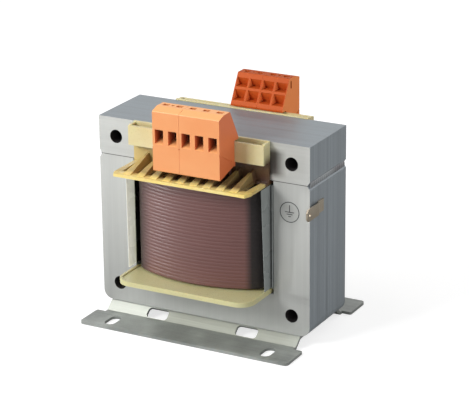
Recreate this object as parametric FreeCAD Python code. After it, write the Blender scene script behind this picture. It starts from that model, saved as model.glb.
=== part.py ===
import FreeCAD, Part
import math
import os

# Control transformer: a welded E and I core with a moulded bobbin, two windings,
# rows of clamp terminals front and back, and two sheet steel feet.
# Lengths are in millimetres. X runs to the right, Y to the back and Z up.
# The origin is on the ground, under the middle of the core.

Vector = FreeCAD.Vector

# Core stampings
core_width = 120.0
outer_leg_width = 20.0
centre_leg_width = 40.0
yoke_height = 20.0
window_height = 60.0
bar_height = 20.0
stack_depth = 41.0
bolt_hole_diameter = 7.0
bolt_hole_inset = 10.0
core_foot_radius = 5.0
joint_groove_depth = 1.4
joint_groove_half_height = 2.15

# Weld bead in the groove between the E and the I
bead_set_back = 0.45
bead_crown = 0.3
bead_end_gap = 1.2

# Foot brackets
foot_sheet = 1.5
foot_drop = 4.2
foot_bend_radius = 1.0
foot_reach = 25.0
foot_web_start = 0.5
foot_web_end = 5.6
foot_web_set_in = 5.0
foot_ear_start = 7.6
foot_corner_radius = 2.0
foot_inner_reach = 9.0
foot_slot_width = 5.8
foot_slot_length = 11.0
foot_slot_from_end = 15.0
foot_slot_reach = 16.5
foot_window_width = 12.0
foot_window_height = 5.8
foot_window_centre_x = 26.0
foot_window_radius = 1.8
foot_weld_leg = 2.2
foot_weld_length = 14.0
foot_weld_from_end = 6.0

# Bobbin
bobbin_leg_clearance = 0.3
bobbin_wall = 1.8
bobbin_seat_gap = 0.2
bobbin_bar_gap = 0.35
flange_reach = 24.8
flange_side_gap = 1.6
lower_flange_thickness = 1.8
lower_flange_radius = 8.0
lower_lip_height = 0.7
lower_lip_width = 1.2
upper_flange_thickness = 1.6
upper_flange_chamfer_x = 1.4
upper_flange_chamfer_y = 3.6
rail_reach = 7.2
rail_height = 10.6
rail_front_drop = 0.4
rail_back_rise = 0.5
rail_wall = 1.4
rail_floor = 1.5
rail_apron = 1.6
fin_height = 5.6
fin_foot_width = 3.2
fin_crest_width = 0.9
fin_tip_set_back = 1.6
fin_tip_height = 0.25
fin_tip_foot_width = 4.5
lead_slot_start = 3.2
lead_slot_end = 19.0
lead_slot_width = 4.2
lead_slot_end_width = 2.2
pin_hole_size = 1.9
pin_reach = 4.5

# Terminal grid along the rails, with the positions left empty at the left end of each
pole_pitch = 7.5
rail_poles = 10
front_empty_poles = 3
front_left_poles = 2
front_right_poles = 3
back_empty_poles = 4
back_left_poles = 2
back_right_poles = 2

# Windings
winding_end_gap = 0.2
winding_core_gap = 0.2
primary_build = 7.7
primary_reach = 7.0
primary_corner_radius = 10.0
wrap_thickness = 0.5
secondary_side_gap = 2.2
secondary_reach = 13.0
secondary_corner_radius = 12.0
winding_bow_radius = 75.0
secondary_turns = 29
turn_groove_depth = 0.5
turn_corner_steps = 4
turn_bow_steps = 5

# Folded film between the coil and each outer leg
film_leaf_thickness = 0.5
film_right_seam_thickness = 1.2
film_left_seam_thickness = 0.5
film_leg_gap = 0.15
film_window_gap = 0.3
film_flange_gap = 0.2
film_seam_set_back = 0.3
film_right_reach_top = 11.7
film_right_reach_bottom = 9.7
film_right_front_lift = 3.8
film_left_reach_top = 12.4
film_left_reach_bottom = 12.0
film_left_front_lift = 0.0

# Terminal housings, reaches counted from the core's face and heights from the rail's top
housing_module_gap = 0.12
housing_face = 22.75
housing_chamfer_start = 17.8
housing_top_back = 11.5
housing_knee = 3.2
housing_knee_height = 1.2
housing_rail_gap = 0.2
housing_hook_drop = 2.0
housing_chin_height = -16.3
housing_top_height = 16.1
housing_chamfer_height = 1.5
housing_edge_radius = 0.6
hook_inset = 1.0
hook_depth = 2.3
entry_width = 4.7
entry_height = 7.5
entry_bottom = -2.1
entry_depth = 5.6
entry_inner_height = 5.2
clamp_hole_width = 3.4
clamp_hole_height = 4.4
clamp_hole_depth = 1.4
cell_width = 5.4
cell_depth = 5.2
cell_height = 11.0
driver_hole_width = 3.4
driver_hole_depth = 2.6
driver_hole_centre = 14.7
test_hole_diameter = 1.6
pocket_rib = 1.0
pocket_header = 0.3
upper_pocket_top = 13.8
upper_pocket_height = 4.3
upper_pocket_depth = 4.6
lower_pocket_top = 8.3
lower_pocket_height = 5.2
lower_pocket_depth = 5.2
side_slot_width = 1.2
side_slot_height = 4.0
side_slot_depth = 1.0
side_slot_below_top = 1.6
side_slot_reach = 12.6
cover_line_depth = 0.3
cover_line_width = 0.5
cover_line_front_height = -2.7
cover_line_back_height = -9.4
cover_line_back_reach = 10.4

# Metal parts of the terminals
bar_thickness = 0.8
bar_width = 3.4
bar_clearance = 0.15
pin_width = 1.2
pin_below_rail = 2.7
contact_top_gap = 0.6
spring_thickness = 0.5
spring_width = 4.6
spring_bend_radius = 0.3
spring_wall_gap = 0.3
spring_window_width = 3.6

# Lead-out wires
lead_diameter = 1.2
lead_foot_reach = 5.2
lead_bend_height = 3.0
lead_pin_height = 6.0
lead_top_gap = 0.5
lead_sides = 8

# Earth tab
tab_width = 6.3
tab_thickness = 0.8
tab_gap = 1.1
tab_reach = 6.5
tab_root_start = 9.0
tab_root_length = 5.0
tab_bend_radius = 0.5
tab_joggle_length = 2.4
tab_below_joint = 13.3
tab_tip_chamfer = 1.5
tab_hole_diameter = 1.8
tab_hole_from_tip = 2.7

# Heights and half widths that follow from the sizes above
core_bottom = foot_sheet + foot_drop
window_floor = core_bottom + yoke_height
joint_height = window_floor + window_height
core_top = joint_height + bar_height
half_core = core_width / 2
half_stack = stack_depth / 2
half_centre_leg = centre_leg_width / 2
foot_length = core_width
foot_web_length = foot_length - 2 * foot_web_set_in
foot_slot_spacing_x = foot_length - 2 * foot_slot_from_end
foot_slot_spacing_y = stack_depth + 2 * foot_slot_reach
foot_weld_centre_x = foot_web_length / 2 - foot_weld_from_end - foot_weld_length / 2
window_side = half_core - outer_leg_width
flange_half_width = window_side - flange_side_gap
fin_reach = flange_reach - fin_tip_set_back
lower_flange_base = window_floor + bobbin_seat_gap
lower_flange_top = lower_flange_base + lower_flange_thickness
upper_flange_top = joint_height - bobbin_bar_gap
upper_flange_base = upper_flange_top - upper_flange_thickness
rail_top = core_top
rail_base = rail_top - rail_height
tube_half_width = half_centre_leg + bobbin_leg_clearance + bobbin_wall
tube_half_depth = half_stack + bobbin_leg_clearance + bobbin_wall
primary_half_width = tube_half_width + winding_core_gap + primary_build
secondary_half_width = window_side - secondary_side_gap
coil_bottom = lower_flange_top + winding_end_gap
coil_top = upper_flange_base - winding_end_gap
pin_bottom = rail_base - pin_below_rail


def plan(height):
    """Placing function for outlines drawn in X and Y at one height."""
    return lambda a, b: Vector(a, b, height)


def front_view(y):
    """Placing function for outlines drawn in X and Z at one depth."""
    return lambda a, b: Vector(a, y, b)


def side_view(x):
    """Placing function for outlines drawn in reach from the core's front face and height."""
    return lambda reach, height: Vector(x, -half_stack - reach, height)


def outline(corners, place):
    """Closed wire through corners given as (a, b) or, where rounded, (a, b, radius)."""
    count = len(corners)
    arcs = []
    for index in range(count):
        here = Vector(corners[index][0], corners[index][1], 0)
        before = Vector(corners[index - 1][0], corners[index - 1][1], 0) - here
        after_corner = corners[(index + 1) % count]
        after = Vector(after_corner[0], after_corner[1], 0) - here
        radius = corners[index][2] if len(corners[index]) == 3 else 0
        if radius == 0:
            arcs.append((here, None, here))
            continue
        before.normalize()
        after.normalize()
        half_angle = before.getAngle(after) / 2
        setback = radius / math.tan(half_angle)
        middle = (before + after).normalize() * (radius / math.sin(half_angle) - radius)
        arcs.append((here + before * setback, here + middle, here + after * setback))
    edges = []
    for index in range(count):
        start, middle, end = [p and place(p.x, p.y) for p in arcs[index]]
        if middle:
            edges.append(Part.Arc(start, middle, end).toShape())
        next_start = arcs[(index + 1) % count][0]
        next_start = place(next_start.x, next_start.y)
        if end.distanceToPoint(next_start) > 1e-6:
            edges.append(Part.makeLine(end, next_start))
    return Part.Wire(edges)


def extruded(corners, place, direction):
    """Solid made by pushing a closed outline along a direction."""
    return Part.Face(outline(corners, place)).extrude(direction)


def centred_box(width, depth, height, centre):
    """Box given by its three sizes and its middle point."""
    corner = centre - Vector(width / 2, depth / 2, height / 2)
    return Part.makeBox(width, depth, height, corner)


def reach_box(width, x, reach_from, reach_to, low, high):
    """Box in front of the core, between two reaches from its face and two heights."""
    corner = Vector(x - width / 2, -half_stack - reach_to, low)
    return Part.makeBox(width, reach_to - reach_from, high - low, corner)


def fused(shapes):
    """One solid from overlapping solids."""
    result = shapes[0]
    if len(shapes) > 1:
        result = shapes[0].multiFuse(shapes[1:])
    return result.removeSplitter()


def to_back(shape):
    """The same shape on the other side of the core's middle plane."""
    return shape.mirror(Vector(0, 0, 0), Vector(0, 1, 0))


def to_left(shape):
    """The same shape on the other side of the middle, from right to left."""
    return shape.mirror(Vector(0, 0, 0), Vector(1, 0, 0))


def turned(shape):
    """The same shape after half a turn about the upright axis, from front right to back left."""
    return to_left(to_back(shape))


def flat_sided(near, far):
    """Solid between two outlines with as many corners, whose sides between them are flat."""
    count = len(near)
    faces = [Part.Face(Part.makePolygon(end + end[:1])) for end in (near, far)]
    for index in range(count):
        after = (index + 1) % count
        side = [near[index], near[after], far[after], far[index], near[index]]
        faces.append(Part.Face(Part.makePolygon(side)))
    return Part.makeSolid(Part.makeShell(faces))


def sheet_profile(top_line, thickness, bend_radius):
    """Corners of a bent sheet's section, from the line of its upper surface."""
    count = len(top_line)
    points = [Vector(a, b, 0) for a, b in top_line]
    normals = []
    for index in range(count - 1):
        run = (points[index + 1] - points[index]).normalize()
        normals.append(Vector(run.y, -run.x, 0))
    upper = []
    lower = []
    for index in range(count):
        first = normals[max(index - 1, 0)]
        second = normals[min(index, count - 2)]
        offset = (first + second) * (thickness / (1 + first.dot(second)))
        turn = first.cross(second).z
        upper_radius = 0
        lower_radius = 0
        if turn > 1e-9:
            upper_radius = bend_radius
            lower_radius = bend_radius + thickness
        if turn < -1e-9:
            upper_radius = bend_radius + thickness
            lower_radius = bend_radius
        upper.append((points[index].x, points[index].y, upper_radius))
        lower.append((points[index].x + offset.x, points[index].y + offset.y, lower_radius))
    return upper + lower[::-1]


def bolt_holes(height_list):
    """Drills through the whole stack at the corners, at the given heights."""
    drills = []
    for x in (bolt_hole_inset - half_core, half_core - bolt_hole_inset):
        for height in height_list:
            start = Vector(x, -half_stack, height)
            through = Vector(0, 1, 0)
            drills.append(Part.makeCylinder(bolt_hole_diameter / 2, stack_depth, start, through))
    return drills


def core_e_stack():
    """The stack of E stampings: yoke below, two outer legs and the centre leg."""
    groove_side = half_core - joint_groove_depth
    groove_low = joint_height - joint_groove_half_height
    right_half = [
        (half_core, core_bottom, core_foot_radius),
        (half_core, groove_low),
        (groove_side, joint_height),
        (window_side, joint_height),
        (window_side, window_floor),
        (half_centre_leg, window_floor),
        (half_centre_leg, joint_height),
    ]
    left_half = [(-corner[0],) + corner[1:] for corner in reversed(right_half)]
    stack = extruded(right_half + left_half, front_view(-half_stack), Vector(0, stack_depth, 0))
    return stack.cut(bolt_holes([core_bottom + bolt_hole_inset]))


def core_i_stack():
    """The bar of I stampings that closes the core on top."""
    groove_side = half_core - joint_groove_depth
    groove_high = joint_height + joint_groove_half_height
    corners = [
        (-groove_side, joint_height),
        (groove_side, joint_height),
        (half_core, groove_high),
        (half_core, core_top),
        (-half_core, core_top),
        (-half_core, groove_high),
    ]
    bar = extruded(corners, front_view(-half_stack), Vector(0, stack_depth, 0))
    return bar.cut(bolt_holes([core_top - bolt_hole_inset]))


def weld_bead_right():
    """The bead that joins the E and the I in the right side's groove."""
    start_y = bead_end_gap - half_stack
    face = half_core - bead_set_back
    half_height = joint_groove_half_height * (1 - bead_set_back / joint_groove_depth)
    root = Vector(half_core - joint_groove_depth, start_y, joint_height)
    low = Vector(face, start_y, joint_height - half_height)
    crown = Vector(face + bead_crown, start_y, joint_height)
    high = Vector(face, start_y, joint_height + half_height)
    cap = Part.Arc(low, crown, high).toShape()
    section = Part.Wire([Part.makeLine(root, low), cap, Part.makeLine(high, root)])
    return Part.Face(section).extrude(Vector(0, stack_depth - 2 * bead_end_gap, 0))


def foot_bracket():
    """The front foot: sheet steel bent down and out, with slots and web windows."""
    surface = [
        (-foot_inner_reach, core_bottom),
        (foot_web_start, core_bottom),
        (foot_web_end, foot_sheet),
        (foot_reach, foot_sheet),
    ]
    section = sheet_profile(surface, foot_sheet, foot_bend_radius)
    sheet = extruded(section, side_view(-foot_length / 2), Vector(foot_length, 0, 0))
    inner_y = foot_inner_reach - half_stack
    ear_y = -foot_ear_start - half_stack
    outer_y = -foot_reach - half_stack
    right_half = [
        (foot_web_length / 2, inner_y),
        (foot_web_length / 2, ear_y),
        (foot_length / 2, ear_y, foot_corner_radius / 2),
        (foot_length / 2, outer_y, foot_corner_radius),
    ]
    left_half = [(-corner[0],) + corner[1:] for corner in reversed(right_half)]
    blank = extruded(right_half + left_half, plan(0), Vector(0, 0, core_bottom))
    bracket = sheet.common(blank)
    return bracket.cut(foot_slots() + foot_windows())


def foot_slots():
    """Two slots through the front foot, long from front to back."""
    end_radius = foot_slot_width / 2 - 0.001
    half_length = foot_slot_length / 2
    half_width = foot_slot_width / 2
    slots = []
    for x in (-foot_slot_spacing_x / 2, foot_slot_spacing_x / 2):
        y = -foot_slot_spacing_y / 2
        corners = [
            (x - half_width, y - half_length, end_radius),
            (x + half_width, y - half_length, end_radius),
            (x + half_width, y + half_length, end_radius),
            (x - half_width, y + half_length, end_radius),
        ]
        slots.append(extruded(corners, plan(0), Vector(0, 0, foot_sheet)))
    return slots


def foot_windows():
    """Two windows cut square through the sloping web of the front foot."""
    slope = math.atan2(foot_drop, foot_web_end - foot_web_start)
    middle_reach = (foot_web_start + foot_web_end) / 2
    middle_height = core_bottom - foot_drop / 2
    windows = []
    for side in (-1, 1):
        half_width = foot_window_width / 2
        half_height = foot_window_height / 2
        corners = [
            (-half_width, -half_height, foot_window_radius),
            (half_width, -half_height, foot_window_radius),
            (half_width, half_height, foot_window_radius),
            (-half_width, half_height, foot_window_radius),
        ]
        window = extruded(corners, plan(-2 * foot_sheet), Vector(0, 0, 4 * foot_sheet))
        window.rotate(Vector(0, 0, 0), Vector(1, 0, 0), math.degrees(slope))
        window.translate(Vector(side * foot_window_centre_x, -half_stack - middle_reach, middle_height))
        windows.append(window)
    return windows


def foot_welds():
    """Two fillet welds between the core's underside and the front foot's inner edge."""
    edge = -foot_inner_reach
    beads = []
    for x in (-foot_weld_centre_x, foot_weld_centre_x):
        corners = [
            (edge, core_bottom),
            (edge - foot_weld_leg, core_bottom),
            (edge, core_bottom - foot_sheet),
        ]
        place = side_view(x - foot_weld_length / 2)
        beads.append(extruded(corners, place, Vector(foot_weld_length, 0, 0)))
    return Part.makeCompound(beads)


def pole_x(index):
    """Middle of a terminal position on the rails, counted from the left."""
    return pole_pitch * (index - (rail_poles - 1) / 2)


def lower_flange():
    """The bobbin's lower plate, with large corners and a low lip round its overhangs."""
    half_depth = half_stack + flange_reach
    corners = [
        (-flange_half_width, -half_depth, lower_flange_radius),
        (flange_half_width, -half_depth, lower_flange_radius),
        (flange_half_width, half_depth, lower_flange_radius),
        (-flange_half_width, half_depth, lower_flange_radius),
    ]
    plate = extruded(corners, plan(lower_flange_base), Vector(0, 0, lower_flange_thickness))
    lip_outer = extruded(corners, plan(lower_flange_top), Vector(0, 0, lower_lip_height))
    inner_width = flange_half_width - lower_lip_width
    inner_depth = half_depth - lower_lip_width
    inner_radius = lower_flange_radius - lower_lip_width
    inner_corners = [
        (-inner_width, -inner_depth, inner_radius),
        (inner_width, -inner_depth, inner_radius),
        (inner_width, inner_depth, inner_radius),
        (-inner_width, inner_depth, inner_radius),
    ]
    lip_inner = extruded(inner_corners, plan(lower_flange_top), Vector(0, 0, lower_lip_height))
    lip_centre = Vector(0, 0, lower_flange_top + lower_lip_height / 2)
    in_core = centred_box(core_width, stack_depth + 2 * lower_lip_width, lower_lip_height, lip_centre)
    return plate.fuse(lip_outer.cut([lip_inner, in_core]))


def upper_flange():
    """The bobbin's upper plate, with its corners cut off, before its slots are cut."""
    half_depth = half_stack + flange_reach
    cut_width = flange_half_width - upper_flange_chamfer_x
    cut_depth = half_depth - upper_flange_chamfer_y
    corners = [
        (-cut_width, -half_depth),
        (cut_width, -half_depth),
        (flange_half_width, -cut_depth),
        (flange_half_width, cut_depth),
        (cut_width, half_depth),
        (-cut_width, half_depth),
        (-flange_half_width, cut_depth),
        (-flange_half_width, -cut_depth),
    ]
    return extruded(corners, plan(upper_flange_base), Vector(0, 0, upper_flange_thickness))


def rail():
    """The front terminal rail: an open channel on an apron that stands on the upper flange."""
    back = bobbin_bar_gap
    corners = [
        (back, upper_flange_base),
        (back, rail_top + rail_back_rise),
        (back + rail_wall, rail_top + rail_back_rise),
        (back + rail_wall, rail_top),
        (rail_reach, rail_top),
        (rail_reach, rail_base),
        (back + rail_apron, rail_base),
        (back + rail_apron, upper_flange_base),
    ]
    body = extruded(corners, side_view(-flange_half_width), Vector(2 * flange_half_width, 0, 0))
    channel_width = 2 * (flange_half_width - rail_wall)
    channel = reach_box(channel_width, 0, back + rail_wall, rail_reach - rail_wall,
                        rail_base + rail_floor, rail_top)
    holes = []
    for index in range(rail_poles):
        centre = Vector(pole_x(index), -half_stack - pin_reach, rail_base + rail_floor / 2)
        holes.append(centred_box(pin_hole_size, pin_hole_size, 2 * rail_floor, centre))
    drop = reach_box(2 * flange_half_width, 0, rail_reach - rail_wall, rail_reach,
                     rail_top - rail_front_drop, rail_top)
    return body.cut([channel, drop] + holes)


def fin(x):
    """One wire guide: a fin that falls from the apron and spreads towards the flange's edge."""
    root = bobbin_bar_gap + rail_apron / 2
    base = upper_flange_top - upper_flange_thickness / 2
    crest = upper_flange_top + fin_height
    tip_crest = upper_flange_top + fin_tip_height
    draft = (fin_foot_width - fin_crest_width) / 2 / (crest - base)
    root_size = (fin_foot_width / 2, fin_crest_width / 2, crest)
    tip_size = (fin_tip_foot_width / 2, fin_tip_foot_width / 2 - draft * (tip_crest - base), tip_crest)
    ends = []
    for reach, size in ((root, root_size), (fin_reach, tip_size)):
        half_foot, half_crest, high = size
        place = front_view(-half_stack - reach)
        ends.append([
            place(x - half_foot, base),
            place(x + half_foot, base),
            place(x + half_crest, high),
            place(x - half_crest, high),
        ])
    return flat_sided(*ends)


def lead_slot(x):
    """A slot in the upper flange that narrows outwards and lets a winding's end through."""
    near = -half_stack - lead_slot_start
    far = -half_stack - lead_slot_end
    near_half = lead_slot_width / 2
    far_half = lead_slot_end_width / 2
    corners = [
        (x - far_half, far),
        (x + far_half, far),
        (x + near_half, near),
        (x - near_half, near),
    ]
    return extruded(corners, plan(upper_flange_base), Vector(0, 0, upper_flange_thickness))


def bobbin():
    """The moulded bobbin: tube, two flanges, and a rail and wire guides front and back."""
    front_parts = [rail()]
    for index in range(rail_poles - 1):
        front_parts.append(fin(pole_x(index) + pole_pitch / 2))
    front_slots = [lead_slot(pole_x(index)) for index in range(rail_poles)]
    tube_height = upper_flange_top - lower_flange_base
    tube_centre = Vector(0, 0, lower_flange_base + tube_height / 2)
    tube = centred_box(2 * tube_half_width, 2 * tube_half_depth, tube_height, tube_centre)
    bore_width = 2 * (half_centre_leg + bobbin_leg_clearance)
    bore_depth = 2 * (half_stack + bobbin_leg_clearance)
    bore = centred_box(bore_width, bore_depth, tube_height, tube_centre)
    back_parts = [to_back(part) for part in front_parts]
    back_slots = [to_back(slot) for slot in front_slots]
    body = fused([lower_flange(), upper_flange(), tube] + front_parts + back_parts)
    return body.cut([bore] + front_slots + back_slots)


def coil_wire(half_width, reach, corner_radius, height):
    """Plan of a winding: flat sides in the windows, round corners, bowed front and back."""
    corner_x = half_width - corner_radius
    bow_centre_y = winding_bow_radius - half_stack - reach
    to_corner = winding_bow_radius - corner_radius
    corner_y = bow_centre_y - math.sqrt(to_corner ** 2 - corner_x ** 2)
    side = Vector(half_width, corner_y, height)
    tangent_angle = math.atan2(corner_y - bow_centre_y, corner_x)
    join_x = winding_bow_radius * math.cos(tangent_angle)
    join_y = bow_centre_y + winding_bow_radius * math.sin(tangent_angle)
    middle_angle = tangent_angle / 2
    corner_middle = Vector(corner_x + corner_radius * math.cos(middle_angle),
                           corner_y + corner_radius * math.sin(middle_angle), height)
    join = Vector(join_x, join_y, height)
    front = Vector(0, -half_stack - reach, height)

    def flip(point, x_sign, y_sign):
        return Vector(point.x * x_sign, point.y * y_sign, point.z)

    edges = []
    for y_sign, x_signs in ((1, (1, -1)), (-1, (-1, 1))):
        first, second = x_signs
        edges.append(Part.Arc(flip(side, first, y_sign), flip(corner_middle, first, y_sign),
                              flip(join, first, y_sign)).toShape())
        edges.append(Part.Arc(flip(join, first, y_sign), flip(front, 1, y_sign),
                              flip(join, second, y_sign)).toShape())
        edges.append(Part.Arc(flip(join, second, y_sign), flip(corner_middle, second, y_sign),
                              flip(side, second, y_sign)).toShape())
        edges.append(Part.makeLine(flip(side, second, y_sign), flip(side, second, -y_sign)))
    return Part.Wire(edges)


def coil_block(half_width, reach, corner_radius):
    """A winding's outer form as a plain block between the flanges."""
    wire = coil_wire(half_width, reach, corner_radius, coil_bottom)
    return Part.Face(wire).extrude(Vector(0, 0, coil_top - coil_bottom))


def tube_core():
    """The space inside the windings, round the bobbin's tube."""
    centre = Vector(0, 0, (coil_bottom + coil_top) / 2)
    width = 2 * (tube_half_width + winding_core_gap)
    depth = 2 * (tube_half_depth + winding_core_gap)
    return centred_box(width, depth, coil_top - coil_bottom, centre)


def primary_winding():
    """The inner winding, round the bobbin's tube."""
    return coil_block(primary_half_width, primary_reach, primary_corner_radius).cut(tube_core())


def interlayer_wrap():
    """The insulating wrap between the two windings."""
    outer = coil_block(primary_half_width + wrap_thickness, primary_reach + wrap_thickness,
                       primary_corner_radius + wrap_thickness)
    return outer.cut(coil_block(primary_half_width, primary_reach, primary_corner_radius))


def turn_line(depth, height):
    """Plan of the outer winding at one height, in short straight runs, set in by a depth."""
    wire = coil_wire(secondary_half_width - depth, secondary_reach - depth,
                     secondary_corner_radius - depth, height)
    steps = [turn_corner_steps, turn_bow_steps, turn_corner_steps, 1] * 2
    points = []
    for edge, count in zip(wire.OrderedEdges, steps):
        run = edge.discretize(count + 1)
        if points and run[0].distanceToPoint(points[-1]) > 1e-4:
            run.reverse()
        points += run if not points else run[1:]
    points[-1] = points[0]
    return Part.makePolygon(points)


def secondary_winding():
    """The outer winding, with a groove between each turn and the next."""
    pitch = (coil_top - coil_bottom) / secondary_turns
    wires = []
    for half_turn in range(2 * secondary_turns + 1):
        depth = turn_groove_depth if half_turn % 2 == 0 else 0
        wires.append(turn_line(depth, coil_bottom + half_turn * pitch / 2))
    turns = Part.makeLoft(wires, True, True)
    inner = coil_block(primary_half_width + wrap_thickness, primary_reach + wrap_thickness,
                       primary_corner_radius + wrap_thickness)
    return turns.cut(inner)


def side_liner(seam_thickness, reach_top, reach_bottom, front_lift):
    """A film at the window's right side: a seam in the window and a leaf that stands out of it."""
    seam_x = window_side - film_leg_gap - seam_thickness
    leaf_x = seam_x - film_leaf_thickness
    low = lower_flange_top + lower_lip_height + film_flange_gap
    high = upper_flange_base - film_flange_gap
    seam_depth = stack_depth - 2 * film_seam_set_back
    seam_height = window_height - 2 * film_window_gap
    seam = Part.makeBox(seam_thickness, seam_depth, seam_height,
                        Vector(seam_x, -seam_depth / 2, window_floor + film_window_gap))
    corners = [
        (-half_stack, low),
        (half_stack, low),
        (half_stack + reach_bottom, low + front_lift),
        (half_stack + reach_top, high),
        (-half_stack - reach_top, high),
        (-half_stack - reach_bottom, low + front_lift),
    ]
    leaf = extruded(corners, lambda a, b: Vector(leaf_x, a, b), Vector(film_leaf_thickness, 0, 0))
    return fused([seam, leaf])


def housing_height(above_rail):
    """Height above the ground of a terminal size counted from the rail's top."""
    return rail_top + above_rail


def slope_reach(height):
    """Reach of the housing's sloping back at a height."""
    knee = housing_height(housing_knee_height)
    top = housing_height(housing_top_height)
    return housing_knee + (housing_top_back - housing_knee) * (height - knee) / (top - knee)


def housing_profile():
    """Side outline of a terminal housing, as reach and height."""
    base = rail_top + housing_rail_gap
    top = housing_height(housing_top_height)
    rail_face = rail_reach + housing_rail_gap
    hook_top = rail_base - housing_rail_gap
    return [
        (housing_face, housing_height(housing_chin_height), housing_edge_radius),
        (housing_face, top - housing_chamfer_height, housing_edge_radius),
        (housing_chamfer_start, top, housing_edge_radius),
        (housing_top_back, top, housing_edge_radius / 2),
        (housing_knee, housing_height(housing_knee_height)),
        (housing_knee, base),
        (rail_face, base),
        (rail_face, hook_top),
        (rail_face - hook_inset, hook_top),
        (rail_face - hook_inset / 2, hook_top - hook_depth),
        (rail_face + hook_inset, rail_base - housing_hook_drop),
    ]


def wire_entry(x):
    """The funnel and hole through which a wire enters the clamp."""
    low = housing_height(entry_bottom)
    high = low + entry_height
    inner_low = high - entry_inner_height
    half_width = entry_width / 2
    ends = []
    for reach, bottom in ((housing_face, low), (housing_face - entry_depth, inner_low)):
        place = front_view(-half_stack - reach)
        ends.append([
            place(x - half_width, bottom),
            place(x + half_width, bottom),
            place(x + half_width, high),
            place(x - half_width, high),
        ])
    funnel = flat_sided(*ends)
    inner_reach = housing_face - entry_depth
    middle = (inner_low + high) / 2
    hole = reach_box(clamp_hole_width, x, inner_reach - clamp_hole_depth, inner_reach,
                     middle - clamp_hole_height / 2, middle + clamp_hole_height / 2)
    return [funnel, hole]


def cell_front():
    """Reach of the front wall of the cell that holds a clamp."""
    return housing_face - entry_depth - clamp_hole_depth


def cell_low():
    """Height of the floor of the cell that holds a clamp."""
    entry_high = housing_height(entry_bottom) + entry_height
    return entry_high - entry_inner_height / 2 - cell_height / 2


def clamp_cell(x):
    """The closed cell behind a wire entry, the driver's hole above and the bar's slot."""
    cell_back = cell_front() - cell_depth
    cell_high = cell_low() + cell_height
    cell = reach_box(cell_width, x, cell_back, cell_front(), cell_low(), cell_high)
    top = housing_height(housing_top_height)
    driver = reach_box(driver_hole_width, x, driver_hole_centre - driver_hole_depth / 2,
                       driver_hole_centre + driver_hole_depth / 2, cell_high, top)
    slot_start = pin_reach - bar_thickness / 2 - bar_clearance
    slot_high = rail_top + housing_rail_gap + bar_thickness + 2 * bar_clearance
    bar_slot = reach_box(bar_width + 2 * bar_clearance, x, slot_start, cell_back, rail_top, slot_high)
    return [cell, driver, bar_slot]


def rear_pockets(x):
    """Two three-cornered pockets in the sloping back, one above the other, deepest at their floors."""
    pockets = []
    for top, height, depth in (
        (upper_pocket_top, upper_pocket_height, upper_pocket_depth),
        (lower_pocket_top, lower_pocket_height, lower_pocket_depth),
    ):
        high = housing_height(top)
        low = high - height
        corners = [
            (slope_reach(high), high),
            (slope_reach(high) + pocket_header, high),
            (slope_reach(low) + depth, low),
            (slope_reach(low), low),
        ]
        place = side_view(x - (pole_pitch - pocket_rib) / 2)
        pockets.append(extruded(corners, place, Vector(pole_pitch - pocket_rib, 0, 0)))
    return pockets


def side_slot(x):
    """A short upright slot near the top of a housing's left end."""
    high = housing_height(housing_top_height) - side_slot_below_top
    return reach_box(2 * side_slot_depth, x, side_slot_reach, side_slot_reach + side_slot_width,
                     high - side_slot_height, high)


def cover_line(x):
    """The shallow line on a housing's end where its lower cover is let in."""
    front = (housing_face, housing_height(cover_line_front_height))
    back = (cover_line_back_reach, housing_height(cover_line_back_height))
    corners = [
        front,
        back,
        (back[0], back[1] - cover_line_width),
        (front[0], front[1] - cover_line_width),
    ]
    return extruded(corners, side_view(x - cover_line_depth), Vector(2 * cover_line_depth, 0, 0))


def housing(first_pole, poles, test_hole):
    """A terminal housing of several poles on the front rail."""
    left = pole_x(first_pole) - pole_pitch / 2 + housing_module_gap / 2
    right = pole_x(first_pole + poles - 1) + pole_pitch / 2 - housing_module_gap / 2
    body = extruded(housing_profile(), side_view(left), Vector(right - left, 0, 0))
    cuts = [side_slot(left), cover_line(left), cover_line(right)]
    for index in range(first_pole, first_pole + poles):
        x = pole_x(index)
        cuts += wire_entry(x) + clamp_cell(x) + rear_pockets(x)
    if test_hole:
        top = housing_height(housing_top_height)
        start = Vector((left + right) / 2, -half_stack - driver_hole_centre, top - cell_height / 2)
        cuts.append(Part.makeCylinder(test_hole_diameter / 2, cell_height / 2, start))
    return body.cut(cuts)


def current_bar(x):
    """A pole's bent copper bar: solder pin, run above the rail and contact plate."""
    seat = rail_top + housing_rail_gap + bar_clearance
    plate_back = cell_front() - cell_depth + bar_clearance
    pin_front = pin_reach + bar_thickness / 2
    pin_back = pin_reach - bar_thickness / 2
    plate_top = cell_low() + cell_height - contact_top_gap
    run = reach_box(bar_width, x, pin_back, plate_back + bar_thickness, seat, seat + bar_thickness)
    pin = reach_box(pin_width, x, pin_back, pin_front, pin_bottom, seat)
    plate = reach_box(bar_width, x, plate_back, plate_back + bar_thickness, seat, plate_top)
    return fused([run, pin, plate])


def clamp_spring(x):
    """A pole's clamp: a strip bent to a C, open at the back, with a window for the wire."""
    plate_face = cell_front() - cell_depth + bar_clearance + bar_thickness
    front = cell_front() - spring_wall_gap
    low = cell_low() + spring_wall_gap
    high = cell_low() + cell_height - spring_wall_gap
    outer_line = [
        (plate_face + spring_wall_gap, high),
        (front, high),
        (front, low),
        (plate_face + spring_wall_gap, low),
    ]
    section = sheet_profile(outer_line, spring_thickness, spring_bend_radius)
    strip = extruded(section, side_view(x - spring_width / 2), Vector(spring_width, 0, 0))
    middle = (low + high) / 2
    window = reach_box(spring_window_width, x, front - 2 * spring_thickness, front + spring_thickness,
                       middle - clamp_hole_height / 2, middle + clamp_hole_height / 2)
    return strip.cut(window)


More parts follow.
